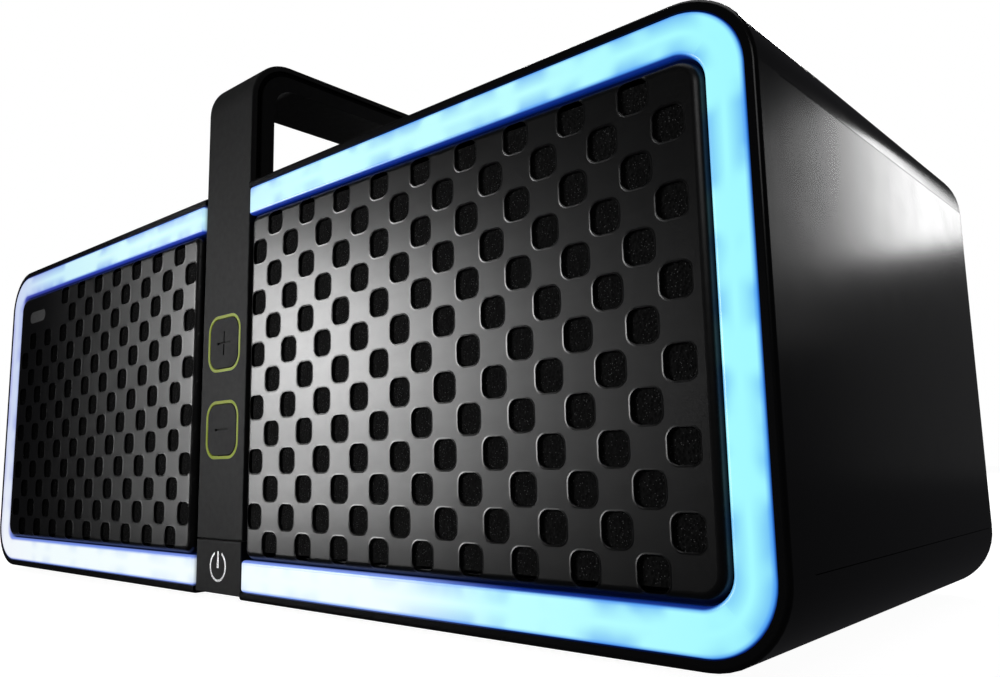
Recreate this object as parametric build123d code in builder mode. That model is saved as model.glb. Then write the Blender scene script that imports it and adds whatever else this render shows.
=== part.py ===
from build123d import *
import os

os.makedirs("parts", exist_ok=True)

# Millimetres. X is the width, the front faces -Y, +Z is up.
# The origin is the centre of the footprint, on the table under the feet.

# ---- cabinet ----
body_width = 340.0
body_height = 120.0
body_depth = 134.0
foot_height = 2.0
corner_radius = 16.0
cover_wall = 3.0
seam_gap = 0.15
rear_edge_radius = 2.5

body_bottom = foot_height
body_top = foot_height + body_height
mid_z = foot_height + body_height / 2
front_y = -body_depth / 2
rear_y = body_depth / 2
seam_high = body_top - corner_radius
seam_low = body_bottom + corner_radius
inner_width = body_width - 2 * cover_wall
inner_height = body_height - 2 * cover_wall
inner_radius = corner_radius - cover_wall
floor_z = body_bottom + cover_wall
ceiling_z = body_top - cover_wall

# ---- front layers, measured along Y from the grille face backwards ----
bezel_front = front_y + 0.3
guide_front = front_y + 0.1
guide_back = front_y + 6.1
led_front = front_y + 6.2
strip_front = front_y + 7.1
bezel_floor = front_y + 7.9
bezel_back = front_y + 10.0
baffle_back = bezel_back + 5.0
foam_front = front_y + 0.6
foam_back = front_y + 4.0

# ---- light ring ----
ring_border = 2.2
ring_width = body_width - 2 * ring_border
ring_height = body_height - 2 * ring_border
ring_radius = corner_radius - ring_border
ring_band_side = 7.7
ring_band_top = 8.6
ring_inner_width = ring_width - 2 * ring_band_side
ring_inner_height = ring_height - 2 * ring_band_top
ring_inner_radius = 5.9
guide_gap = 0.1
guide_end_x = 12.9
guide_edge_radius = 0.9
strip_width = 5.0
led_size = 3.2
led_pitch = 12.0

# ---- perforated grilles ----
hole_step = 7.4
hole_size = 6.5
hole_radius = 2.0
hole_bevel = 0.15
first_column_x = 19.2
long_columns = 9
short_columns = 10
grille_inner_x = 14.4
grille_outer_x = 159.6
grille_height = ring_inner_height - 0.6
grille_outer_corner = 5.6
grille_inner_corner = 3.0
grille_edge_radius = 2.2
grille_sheet = 0.5
foam_inset = grille_edge_radius + 0.15
foam_corner = 4.5
badge_width = 15.0
badge_height = 4.6
badge_thickness = 0.3
badge_gap = 0.06
badge_x = -141.5
badge_z = 101.5

# ---- handle loop ----
handle_width = 24.4
handle_front = front_y + 0.9
handle_rear = -handle_front
handle_top = 162.0
handle_outer_radius = 13.0
handle_inner_radius = 7.0
shell_thickness = 1.7
frame_thickness = 1.7
handle_thickness = 7.7
frame_recess = 0.6
channel_half = 12.35
channel_floor = handle_front + handle_thickness
leg_end_z = 88.0
power_seam_z = 18.2
shell_back = handle_front + shell_thickness
shell_foot_z = body_bottom + 0.8

# ---- keys on the band ----
key_width = 17.4
key_height = 17.0
key_radius = 5.0
outline_width = 0.85
key_gap = 0.15
plus_z = 74.9
minus_z = 49.3
key_proud = 0.1
key_travel = 0.5
flange_front = shell_back + 0.1
flange_back = flange_front + 0.8
mark_length = 7.2
mark_width = 0.6
mark_depth = 0.5
power_width = 23.8
power_top_z = power_seam_z - 0.5
power_symbol_z = 10.4
symbol_depth = 0.3
symbol_radius = 4.3
symbol_line = 0.65
symbol_gap = 3.6
symbol_bar_top = 4.2
symbol_bar_foot = 0.5
plunger_front = flange_back + 0.1
switch_front = channel_floor - 3.7
board_front = channel_floor - 1.6
switch_size = 6.0
plunger_radius = 1.75
plunger_bore = 2.1

# ---- drivers ----
driver_x = 85.0
flange_size = 92.0
flange_corner = 12.0
flange_thickness = 2.2
driver_hole_offset = 37.5
driver_pass_radius = 45.5
gasket_bore_radius = 44.9
cone_edge_radius = 36.4
coil_outer = 13.1
coil_inner = 12.5
cone_depth_y = -43.6
spider_y = -38.5
spider_outer = 31.0
basket_plate_y = -33.0

# ---- inside ----
boss_x = (60.0, 140.0)
front_screw_high = 115.0
front_screw_low = 9.0
rear_screw_high = 112.0
rear_screw_low = 12.0
rear_plate_front = 61.0
rear_plate_back = 64.0
handle_screw_rows = (94.0, 108.0)
handle_screw_x = 6.0
main_board_x = 98.0
jack_z = 18.0
foot_x = 132.0
foot_y = 44.0


def front_plane(y):
    """Plane facing -Y at depth y; sketch x runs along +X and sketch y along +Z."""
    return Plane(origin=(0, y, 0), x_dir=(1, 0, 0), z_dir=(0, -1, 0))


def axial_plane(x, z):
    """Plane holding a driver axis; sketch x is the radius and sketch y runs along +Y."""
    return Plane(origin=(x, 0, z), x_dir=(1, 0, 0), z_dir=(0, 0, 1))


def cabinet_tube():
    """Full rounded tube of the cabinet, rear edge softened."""
    with BuildPart() as tube:
        with BuildSketch(front_plane(bezel_back)):
            with Locations((0, mid_z)):
                RectangleRounded(body_width, body_height, corner_radius)
        extrude(amount=bezel_back - rear_y)
        fillet(tube.faces().sort_by(Axis.Y)[-1].edges(), rear_edge_radius)
        with BuildSketch(front_plane(bezel_back)):
            with Locations((0, mid_z)):
                RectangleRounded(inner_width, inner_height, inner_radius)
        extrude(amount=bezel_back - rear_y, mode=Mode.SUBTRACT)
    return tube.part


def screw_boss_boxes(z_from, z_to, z_front, z_rear):
    """Screw bosses along the front and rear of a cover, pilot holes included."""
    columns = [side * x for x in boss_x for side in (-1, 1)]
    centre_z = (z_from + z_to) / 2
    height = abs(z_to - z_from)
    with BuildPart() as bosses:
        with BuildSketch(front_plane(baffle_back)):
            with Locations(*[(x, centre_z) for x in columns]):
                Rectangle(10, height)
        extrude(amount=-12)
        with BuildSketch(front_plane(rear_plate_front)):
            with Locations(*[(x, centre_z) for x in columns]):
                Rectangle(10, height)
        extrude(amount=12)
        with BuildSketch(front_plane(baffle_back)):
            with Locations(*[(x, z_front) for x in columns]):
                Circle(1.5)
        extrude(amount=-9, mode=Mode.SUBTRACT)
        with BuildSketch(front_plane(rear_plate_front)):
            with Locations(*[(x, z_rear) for x in columns]):
                Circle(1.5)
        extrude(amount=9, mode=Mode.SUBTRACT)
    return bosses.part


def loop_profile(half_width, outer_offset, inner_offset, inner_corner, front_end, rear_end):
    """Side view of one layer of the handle loop, drawn on that layer's -X side."""
    width = handle_rear - handle_front
    tall = 2 * handle_top
    with BuildSketch(Plane.YZ.offset(-half_width)) as layer:
        with Locations((0, handle_top - outer_offset - tall / 2)):
            RectangleRounded(width - 2 * outer_offset, tall, handle_outer_radius - outer_offset)
        with Locations((0, handle_top - inner_offset - tall / 2)):
            RectangleRounded(width - 2 * inner_offset, tall, inner_corner, mode=Mode.SUBTRACT)
        with Locations((handle_front, front_end - handle_top)):
            Rectangle(width, 2 * handle_top, mode=Mode.SUBTRACT)
        with Locations((handle_rear, rear_end - handle_top)):
            Rectangle(width, 2 * handle_top, mode=Mode.SUBTRACT)
    return layer.sketch


def screw_set(spots, head_y, head_radius, head_height, shank_radius, shank_length, direction):
    """Pan-head screws along Y with a cross recess; direction +1 drives the shank towards +Y."""
    with BuildPart() as screws:
        with BuildSketch(front_plane(head_y)):
            with Locations(*spots):
                Circle(head_radius)
        extrude(amount=direction * head_height)
        with BuildSketch(front_plane(head_y)):
            with Locations(*spots):
                Circle(shank_radius)
        extrude(amount=-direction * shank_length)
        with BuildSketch(front_plane(head_y - direction * head_height)):
            with Locations(*spots):
                Rectangle(1.3 * head_radius, 0.5)
                Rectangle(0.5, 1.3 * head_radius)
        extrude(amount=-direction * head_height * 0.6, mode=Mode.SUBTRACT)
    return screws.part


# ======== cabinet shells ========
with BuildPart() as top_cover:
    add(cabinet_tube())
    split(bisect_by=Plane.XY.offset(seam_high), keep=Keep.TOP)
    with BuildSketch(Plane.XY.offset(body_top)):
        with Locations((0, (channel_floor * -1 + rear_y + 1) / 2)):
            Rectangle(2 * channel_half, rear_y + 1 + channel_floor)
    extrude(amount=-cover_wall - 1, mode=Mode.SUBTRACT)
    add(screw_boss_boxes(ceiling_z - 12, ceiling_z, front_screw_high, rear_screw_high))

with BuildPart() as bottom_cover:
    add(cabinet_tube())
    split(bisect_by=Plane.XY.offset(seam_low), keep=Keep.BOTTOM)
    with BuildSketch(Plane.XY.offset(body_bottom)):
        with Locations((0, rear_y)):
            Rectangle(2 * channel_half, 2 * (rear_y + shell_back) + 0.2)
        with Locations(*[(sx * foot_x, sy * foot_y) for sx in (-1, 1) for sy in (-1, 1)]):
            Circle(3)
    extrude(amount=cover_wall, mode=Mode.SUBTRACT)
    add(screw_boss_boxes(floor_z, floor_z + 12, front_screw_low, rear_screw_low))
    # standoffs for the main board and the battery bracket
    with BuildSketch(Plane.XY.offset(floor_z)):
        with Locations((main_board_x, 29)):
            with GridLocations(48, 46, 2, 2):
                Circle(3.5)
        with Locations((-49, 18), (49, 18)):
            Circle(4)
    extrude(amount=5)
    with BuildSketch(Plane.XY.offset(floor_z + 5)):
        with Locations((main_board_x, 29)):
            with GridLocations(48, 46, 2, 2):
                Circle(1.25)
        with Locations((-49, 18), (49, 18)):
            Circle(1.25)
    extrude(amount=-4.5, mode=Mode.SUBTRACT)

with BuildPart() as end_panel_right:
    add(cabinet_tube())
    split(bisect_by=Plane.XY.offset(seam_high - seam_gap), keep=Keep.BOTTOM)
    split(bisect_by=Plane.XY.offset(seam_low + seam_gap), keep=Keep.TOP)
    split(bisect_by=Plane.YZ, keep=Keep.TOP)
    # inner tongue that laps behind both covers
    with BuildSketch(front_plane(baffle_back + 0.5)):
        with Locations((inner_width / 2 - 0.75, mid_z)):
            Rectangle(1.5, seam_high - seam_low - 2)
        with Locations((inner_width / 2 - 1.75, mid_z)):
            Rectangle(1.5, seam_high - seam_low + 5)
    extrude(amount=baffle_back - rear_plate_front + 1.0)

with BuildPart() as end_panel_left:
    mirror(end_panel_right.part, about=Plane.YZ)

# ======== front frame ========
with BuildPart() as front_bezel:
    with BuildSketch(front_plane(bezel_front)):
        with Locations((0, mid_z)):
            RectangleRounded(body_width, body_height, corner_radius)
    extrude(amount=bezel_front - bezel_back)
    fillet(front_bezel.faces().sort_by(Axis.Y)[0].edges(), 0.9)
    with BuildSketch(front_plane(bezel_front)):
        with Locations((0, mid_z)):
            RectangleRounded(ring_width, ring_height, ring_radius)
    extrude(amount=bezel_front - bezel_floor, mode=Mode.SUBTRACT)
    # two openings through the floor, with a bridge left behind the band
    with BuildSketch(front_plane(bezel_floor)):
        with Locations((0, mid_z)):
            RectangleRounded(ring_inner_width - 2, ring_inner_height - 2, ring_inner_radius - 1)
            Rectangle(34, ring_inner_height, mode=Mode.SUBTRACT)
    extrude(amount=bezel_floor - bezel_back, mode=Mode.SUBTRACT)
    # side walls of the band channel
    with BuildSketch(front_plane(bezel_floor)):
        with Locations((-channel_half - 0.35, mid_z), (channel_half + 0.35, mid_z)):
            Rectangle(0.7, ring_inner_height - 1)
    extrude(amount=bezel_floor - front_y - 3.5)
    # channel for the band, open through the top edge and notched at the lower edge
    with BuildSketch(front_plane(front_y)):
        with Locations((0, body_bottom + ring_border + body_height / 2)):
            Rectangle(2 * channel_half, body_height)
    extrude(amount=front_y - channel_floor, mode=Mode.SUBTRACT)
    with BuildSketch(front_plane(front_y)):
        with Locations((0, body_bottom + 8)):
            Rectangle(2 * channel_half, 16)
    extrude(amount=front_y - flange_back - 0.8, mode=Mode.SUBTRACT)
    # screw seats hidden under the light strips
    with BuildSketch(front_plane(bezel_floor)):
        with Locations(*[(s * x, z) for x in boss_x for s in (-1, 1)
                         for z in (front_screw_high, front_screw_low)]):
            Circle(3.1)
    extrude(amount=-1.3, mode=Mode.SUBTRACT)
    with BuildSketch(front_plane(bezel_floor)):
        with Locations(*[(s * x, z) for x in boss_x for s in (-1, 1)
                         for z in (front_screw_high, front_screw_low)]):
            Circle(1.6)
        with Locations(*[(s * handle_screw_x, z) for s in (-1, 1) for z in handle_screw_rows]):
            Circle(1.6)
    extrude(amount=bezel_floor - bezel_back, mode=Mode.SUBTRACT)

with BuildPart() as front_baffle:
    with BuildSketch(front_plane(bezel_back)):
        with Locations((0, mid_z)):
            RectangleRounded(inner_width - 0.4, inner_height - 0.4, inner_radius - 0.2)
        with Locations((-driver_x, mid_z), (driver_x, mid_z)):
            Circle(driver_pass_radius, mode=Mode.SUBTRACT)
        with Locations(*[(s * x, z) for x in boss_x for s in (-1, 1)
                         for z in (front_screw_high, front_screw_low)]):
            Circle(1.6, mode=Mode.SUBTRACT)
        with Locations(*[(s * handle_screw_x, z) for s in (-1, 1) for z in handle_screw_rows]):
            Circle(1.6, mode=Mode.SUBTRACT)
    extrude(amount=bezel_back - baffle_back)
    with BuildSketch(front_plane(bezel_back)):
        with Locations((-driver_x, mid_z), (driver_x, mid_z)):
            RectangleRounded(flange_size + 0.4, flange_size + 0.4, flange_corner + 0.2)
    extrude(amount=-flange_thickness - 0.6, mode=Mode.SUBTRACT)
    with BuildSketch(front_plane(bezel_back + flange_thickness + 0.6)):
        for side in (-1, 1):
            with Locations((side * driver_x, mid_z)):
                with GridLocations(2 * driver_hole_offset, 2 * driver_hole_offset, 2, 2):
                    Circle(1.7)
    extrude(amount=-5, mode=Mode.SUBTRACT)

with BuildPart() as rear_panel:
    with BuildSketch(front_plane(rear_plate_front)):
        with Locations((0, mid_z)):
            RectangleRounded(inner_width - 0.4, inner_height - 0.4, inner_radius - 0.2)
    extrude(amount=rear_plate_front - rear_plate_back)
    # box that carries the rear leg of the handle
    with BuildSketch(front_plane(-channel_floor - 2)):
        with Locations((0, mid_z)):
            Rectangle(2 * channel_half + 4, inner_height - 0.6)
    extrude(amount=-channel_floor - 2 - rear_plate_back)
    with BuildSketch(front_plane(-channel_floor)):
        with Locations((0, mid_z)):
            Rectangle(2 * channel_half, body_height)
    extrude(amount=-channel_floor - rear_plate_back - 1, mode=Mode.SUBTRACT)
    with BuildSketch(front_plane(rear_plate_front)):
        with Locations(*[(s * x, z) for x in boss_x for s in (-1, 1)
                         for z in (rear_screw_high, rear_screw_low)]):
            Circle(1.6)
        with Locations((main_board_x - 16, jack_z)):
            Circle(4.3)
        with Locations((main_board_x, jack_z)):
            Circle(3.6)
        with Locations((main_board_x + 14, jack_z)):
            Rectangle(13.6, 6.0)
    extrude(amount=rear_plate_front - rear_plate_back, mode=Mode.SUBTRACT)
    with BuildSketch(front_plane(-channel_floor - 2)):
        with Locations(*[(s * handle_screw_x, z) for s in (-1, 1) for z in handle_screw_rows]):
            Circle(1.6)
    extrude(amount=-2, mode=Mode.SUBTRACT)

# ======== light ring ========
with BuildPart() as light_guide_right:
    with BuildSketch(front_plane(guide_front)):
        with Locations((0, mid_z)):
            RectangleRounded(ring_width - 2 * guide_gap, ring_height - 2 * guide_gap,
                             ring_radius - guide_gap)
            RectangleRounded(ring_inner_width, ring_inner_height, ring_inner_radius,
                             mode=Mode.SUBTRACT)
        with Locations((guide_end_x - body_width / 2, mid_z)):
            Rectangle(body_width, body_height, mode=Mode.SUBTRACT)
    extrude(amount=guide_front - guide_back)
    end_edges = light_guide_right.faces().sort_by(Axis.X)[:2].edges().filter_by(Axis.Y)
    fillet(end_edges, 1.0)
    fillet(light_guide_right.faces().sort_by(Axis.Y)[0].edges(), guide_edge_radius)

with BuildPart() as light_guide_left:
    mirror(light_guide_right.part, about=Plane.YZ)

with BuildPart() as led_strip_right:
    with BuildSketch(front_plane(strip_front)):
        with Locations((0, mid_z)):
            RectangleRounded(ring_width - 3.0, ring_height - 3.0, ring_radius - 1.5)
            RectangleRounded(ring_width - 3.0 - 2 * strip_width,
                             ring_height - 3.0 - 2 * strip_width,
                             ring_radius - 1.5 - strip_width, mode=Mode.SUBTRACT)
        with Locations((guide_end_x + 1.4 - body_width / 2, mid_z)):
            Rectangle(body_width, body_height, mode=Mode.SUBTRACT)
    extrude(amount=strip_front - bezel_floor)

with BuildPart() as led_strip_left:
    mirror(led_strip_right.part, about=Plane.YZ)

strip_line_z = ring_height / 2 - 1.5 - strip_width / 2
strip_line_x = ring_width / 2 - 1.5 - strip_width / 2
with BuildPart() as led_chips_right:
    with BuildSketch(front_plane(led_front)):
        for side in (-1, 1):
            with Locations((88, mid_z + side * strip_line_z)):
                with GridLocations(led_pitch, 1, 12, 1):
                    Rectangle(led_size, led_size)
        with Locations((strip_line_x, mid_z)):
            with GridLocations(1, led_pitch, 1, 7):
                Rectangle(led_size, led_size)
    extrude(amount=led_front - strip_front)

with BuildPart() as led_chips_left:
    mirror(led_chips_right.part, about=Plane.YZ)

# ======== grilles and foam ========
def grille_holes(left_out):
    """Centres of the staggered holes; columns count from the outer edge, rows from the top."""
    spots = []
    for column in range(long_columns + short_columns):
        x = first_column_x + (long_columns + short_columns - 1 - column) * hole_step
        count = 6 if column % 2 == 0 else 7
        for row in range(count):
            if (column, row) not in left_out:
                spots.append((x, mid_z + ((count - 1) / 2 - row) * 2 * hole_step))
    return spots


def grille_tray(left_out):
    """Pressed tray with turned-back rim and bevelled holes, drawn on the +X side."""
    with BuildPart() as tray:
        with BuildSketch(front_plane(front_y)) as outline:
            with Locations(((grille_inner_x + grille_outer_x) / 2, mid_z)):
                Rectangle(grille_outer_x - grille_inner_x, grille_height)
            fillet(outline.vertices().group_by(Axis.X)[-1], grille_outer_corner)
            fillet(outline.vertices().group_by(Axis.X)[0], grille_inner_corner)
        extrude(amount=front_y - bezel_floor)
        fillet(tray.faces().sort_by(Axis.Y)[0].edges(), grille_edge_radius)
        offset(amount=-grille_sheet, openings=tray.faces().sort_by(Axis.Y)[-1])
        with BuildSketch(front_plane(front_y)):
            with Locations(*grille_holes(left_out)):
                RectangleRounded(hole_size, hole_size, hole_radius)
        extrude(amount=-2.5, mode=Mode.SUBTRACT)
        with BuildSketch(front_plane(front_y)):
            with Locations(*grille_holes(left_out)):
                RectangleRounded(hole_size + 2 * hole_bevel, hole_size + 2 * hole_bevel,
                                 hole_radius + hole_bevel)
        extrude(amount=-hole_bevel, taper=45, mode=Mode.SUBTRACT)
    return tray.part


with BuildPart() as grille_right:
    add(grille_tray([]))

# five holes are left out at the upper outer corner, where the blank badge sits
with BuildPart() as grille_left:
    mirror(grille_tray([(0, 0), (1, 0), (2, 0), (3, 0), (4, 0)]), about=Plane.YZ)
    with BuildSketch(front_plane(front_y)):
        with Locations((badge_x, badge_z)):
            RectangleRounded(badge_width + 2 * badge_gap, badge_height + 2 * badge_gap,
                             badge_height / 2 + badge_gap - 0.01)
    extrude(amount=-badge_thickness, mode=Mode.SUBTRACT)

with BuildPart() as badge_plate:
    with BuildSketch(front_plane(front_y)):
        with Locations((badge_x, badge_z)):
            RectangleRounded(badge_width, badge_height, badge_height / 2 - 0.01)
    extrude(amount=-badge_thickness)
    fillet(badge_plate.faces().sort_by(Axis.Y)[0].edges(), 0.1)

with BuildPart() as foam_right:
    with BuildSketch(front_plane(foam_front)):
        with Locations(((grille_inner_x + grille_outer_x) / 2, mid_z)):
            RectangleRounded(grille_outer_x - grille_inner_x - 2 * foam_inset,
                             grille_height - 2 * foam_inset, foam_corner)
    extrude(amount=foam_front - foam_back)

with BuildPart() as foam_left:
    mirror(foam_right.part, about=Plane.YZ)

# ======== drivers ========
driver_axis = Axis((driver_x, 0, mid_z), (0, 1, 0))
flange_rear = bezel_back + flange_thickness

with BuildPart() as basket_right:
    with BuildSketch(axial_plane(driver_x, mid_z)):
        with BuildLine():
            Polyline((45.4, bezel_back), (45.4, flange_rear), (44.6, flange_rear),
                     (36, -37), (36, basket_plate_y), (14.6, basket_plate_y),
                     (14.6, basket_plate_y - 1.5), (29, basket_plate_y - 1.5),
                     (29, -38), (33.8, -38), (42.2, flange_rear), (42.2, bezel_back),
                     close=True)
        make_face()
    revolve(axis=driver_axis)
    with BuildSketch(front_plane(bezel_back)):
        with Locations((driver_x, mid_z)):
            RectangleRounded(flange_size, flange_size, flange_corner)
            Circle(42.2, mode=Mode.SUBTRACT)
            with GridLocations(2 * driver_hole_offset, 2 * driver_hole_offset, 2, 2):
                Circle(2.1, mode=Mode.SUBTRACT)
    extrude(amount=-flange_thickness)
    # six windows leave ribs between the flange and the rear plate
    with BuildSketch(front_plane(flange_rear)):
        with Locations((driver_x, mid_z)):
            Circle(42.0)
            Circle(36.6, mode=Mode.SUBTRACT)
            with PolarLocations(40, 6):
                Rectangle(14, 9, mode=Mode.SUBTRACT)
    extrude(amount=flange_rear - basket_plate_y, mode=Mode.SUBTRACT)

with BuildPart() as motor_right:
    with BuildSketch(axial_plane(driver_x, mid_z)):
        with BuildLine():
            Polyline((0, -33.5), (11.8, -33.5), (11.8, -20), (17, -20), (17, -29),
                     (13.9, -29), (13.9, basket_plate_y), (33, basket_plate_y),
                     (33, -29), (31, -29), (31, -16), (0, -16), close=True)
        make_face()
    revolve(axis=driver_axis)

with BuildPart() as cone_right:
    with BuildSketch(axial_plane(driver_x, mid_z)):
        with BuildLine():
            Polyline((cone_edge_radius, bezel_back), (cone_edge_radius, bezel_back + 1),
                     (coil_outer, cone_depth_y + 1.2), (coil_outer, cone_depth_y),
                     (cone_edge_radius - 2, bezel_back), close=True)
        make_face()
    revolve(axis=driver_axis)

with BuildPart() as dust_cap_right:
    with BuildSketch(axial_plane(driver_x, mid_z)):
        with Locations((0, -22)):
            Circle(27.25)
            Circle(26.75, mode=Mode.SUBTRACT)
        with Locations((7.5, -60)):
            Rectangle(15, 30.4, mode=Mode.INTERSECT)
    revolve(axis=driver_axis)

with BuildPart() as voice_coil_right:
    with BuildSketch(axial_plane(driver_x, mid_z)):
        with Locations(((coil_inner + coil_outer) / 2, -34.4)):
            Rectangle(coil_outer - coil_inner, 19.4)
    revolve(axis=driver_axis)

with BuildPart() as surround_right:
    with BuildSketch(axial_plane(driver_x, mid_z)):
        with Locations((39.7, bezel_back)):
            Circle(3.6)
            Circle(2.9, mode=Mode.SUBTRACT)
        with Locations((39.7, bezel_back - 5)):
            Rectangle(10, 10, mode=Mode.INTERSECT)
        with Locations((44.4, bezel_back - 0.35)):
            Rectangle(2.6, 0.7)
        with Locations((35.3, bezel_back - 0.35)):
            Rectangle(2.2, 0.7)
    revolve(axis=driver_axis)

with BuildPart() as spider_right:
    spider_top = [(coil_outer, spider_y)]
    for i in range(1, 8):
        spider_top.append((coil_outer + 2.0 * i, spider_y + 0.9 * (-1) ** i))
    spider_top.append((spider_outer - 1.5, spider_y))
    spider_top.append((spider_outer, spider_y))
    spider_low = [(r, y + 0.5) for r, y in reversed(spider_top)]
    with BuildSketch(axial_plane(driver_x, mid_z)):
        with BuildLine():
            Polyline(*spider_top, *spider_low, close=True)
        make_face()
    revolve(axis=driver_axis)

with BuildPart() as basket_left:
    mirror(basket_right.part, about=Plane.YZ)
with BuildPart() as motor_left:
    mirror(motor_right.part, about=Plane.YZ)
with BuildPart() as cone_left:
    mirror(cone_right.part, about=Plane.YZ)
with BuildPart() as dust_cap_left:
    mirror(dust_cap_right.part, about=Plane.YZ)
with BuildPart() as voice_coil_left:
    mirror(voice_coil_right.part, about=Plane.YZ)
with BuildPart() as surround_left:
    mirror(surround_right.part, about=Plane.YZ)
with BuildPart() as spider_left:
    mirror(spider_right.part, about=Plane.YZ)

with BuildPart() as driver_gaskets:
    with BuildSketch(front_plane(flange_rear)):
        for side in (-1, 1):
            with Locations((side * driver_x, mid_z)):
                RectangleRounded(flange_size - 0.4, flange_size - 0.4, flange_corner - 0.2)
                Circle(gasket_bore_radius, mode=Mode.SUBTRACT)
                with GridLocations(2 * driver_hole_offset, 2 * driver_hole_offset, 2, 2):
                    Circle(2.3, mode=Mode.SUBTRACT)
    extrude(amount=-0.6)

driver_spots = [(s * driver_x + a * driver_hole_offset, mid_z + b * driver_hole_offset)
                for s in (-1, 1) for a in (-1, 1) for b in (-1, 1)]
with BuildPart() as driver_screws:
    add(screw_set(driver_spots, bezel_back, 3.2, 1.5, 1.65, 7.0, 1))

# ======== handle ========
with BuildPart() as handle_shell:
    shell_layer = loop_profile(handle_width / 2, 0, shell_thickness,
                               handle_outer_radius - shell_thickness,
                               power_seam_z, shell_foot_z)
    extrude(shell_layer, amount=handle_width)
    rims = handle_shell.faces().filter_by(Axis.X).edges()
    straight_rims = rims.filter_by(GeomType.LINE).filter_by(
        lambda e: abs(e.center().Y) > handle_rear - 0.01 or e.center().Z > handle_top - 0.01)
    round_rims = rims.filter_by(GeomType.CIRCLE).filter_by(
        lambda e: abs(e.radius - handle_outer_radius) < 0.01)
    fillet(straight_rims + round_rims, 0.5)
    with BuildSketch(front_plane(handle_front)):
        with Locations((0, plus_z), (0, minus_z)):
            RectangleRounded(key_width, key_height, key_radius)
    extrude(amount=-shell_thickness - 0.1, mode=Mode.SUBTRACT)

with BuildPart() as handle_frame:
    frame_layer = loop_profile(handle_width / 2 - frame_recess, shell_thickness,
                               shell_thickness + frame_thickness,
                               handle_outer_radius - shell_thickness - frame_thickness,
                               leg_end_z, leg_end_z)
    extrude(frame_layer, amount=handle_width - 2 * frame_recess)
    with BuildSketch(front_plane(handle_front)):
        with Locations(*[(s * handle_screw_x, z) for s in (-1, 1) for z in handle_screw_rows]):
            Circle(1.5)
    extrude(amount=handle_front - handle_rear, mode=Mode.SUBTRACT)

with BuildPart() as handle_liner:
    liner_layer = loop_profile(handle_width / 2, shell_thickness + frame_thickness,
                               handle_thickness, handle_inner_radius, leg_end_z, leg_end_z)
    extrude(liner_layer, amount=handle_width)
    with BuildSketch(front_plane(handle_front)):
        with Locations(*[(s * handle_screw_x, z) for s in (-1, 1) for z in handle_screw_rows]):
            Circle(1.6)
    extrude(amount=handle_front - handle_rear, mode=Mode.SUBTRACT)

handle_spots = [(s * handle_screw_x, z) for s in (-1, 1) for z in handle_screw_rows]
with BuildPart() as handle_screws:
    add(screw_set(handle_spots, baffle_back, 2.9, 1.8, 1.5,
                  baffle_back - shell_back - 0.2, -1))
    add(screw_set(handle_spots, -channel_floor - 2, 2.9, 1.8, 1.5,
                  2 + handle_thickness - shell_thickness - 0.2, 1))

# ======== keys ========
key_cap_width = key_width - 2 * outline_width - 2 * key_gap
key_cap_height = key_height - 2 * outline_width - 2 * key_gap
key_cap_radius = key_radius - outline_width - key_gap

with BuildPart() as outline_rings:
    with BuildSketch(front_plane(handle_front - 0.05)):
        for z in (plus_z, minus_z):
            with Locations((0, z)):
                RectangleRounded(key_width, key_height, key_radius)
                RectangleRounded(key_width - 2 * outline_width, key_height - 2 * outline_width,
                                 key_radius - outline_width, mode=Mode.SUBTRACT)
    extrude(amount=-shell_thickness - 0.05)


def key_blank(z):
    """Key cap with its hidden retaining flange and the pad that meets the switch."""
    with BuildPart() as blank:
        with BuildSketch(front_plane(handle_front - key_proud)):
            with Locations((0, z)):
                RectangleRounded(key_cap_width, key_cap_height, key_cap_radius)
        extrude(amount=handle_front - key_proud - flange_back)
        fillet(blank.faces().sort_by(Axis.Y)[0].edges(), 0.3)
        with BuildSketch(front_plane(flange_front)):
            with Locations((0, z)):
                RectangleRounded(key_cap_width + 1.2, key_cap_height + 1.2, key_cap_radius + 0.6)
        extrude(amount=flange_front - flange_back)
        with BuildSketch(front_plane(flange_back)):
            with Locations((0, z)):
                Circle(2.5)
        extrude(amount=flange_back - plunger_front)
    return blank.part


with BuildPart() as plus_button:
    add(key_blank(plus_z))
    with BuildSketch(front_plane(handle_front - key_proud)):
        with Locations((0, plus_z)):
            Rectangle(mark_length, mark_width)
            Rectangle(mark_width, mark_length)
    extrude(amount=-mark_depth, mode=Mode.SUBTRACT)

with BuildPart() as minus_button:
    add(key_blank(minus_z))
    with BuildSketch(front_plane(handle_front - key_proud)):
        with Locations((0, minus_z)):
            Rectangle(mark_length, mark_width)
    extrude(amount=-mark_depth, mode=Mode.SUBTRACT)


def power_mark():
    """Broken ring and tapered bar of the standby symbol."""
    with BuildSketch(front_plane(handle_front - key_proud)) as mark:
        with Locations((0, power_symbol_z)):
            Circle(symbol_radius)
            Circle(symbol_radius - symbol_line, mode=Mode.SUBTRACT)
        with Locations((0, power_symbol_z + symbol_radius)):
            Rectangle(symbol_gap, symbol_radius, mode=Mode.SUBTRACT)
        with BuildLine():
            Polyline((-0.3, power_symbol_z + symbol_bar_top),
                     (0.3, power_symbol_z + symbol_bar_top),
                     (0.55, power_symbol_z - symbol_bar_foot),
                     (-0.55, power_symbol_z - symbol_bar_foot), close=True)
        make_face()
    return mark.sketch


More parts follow.
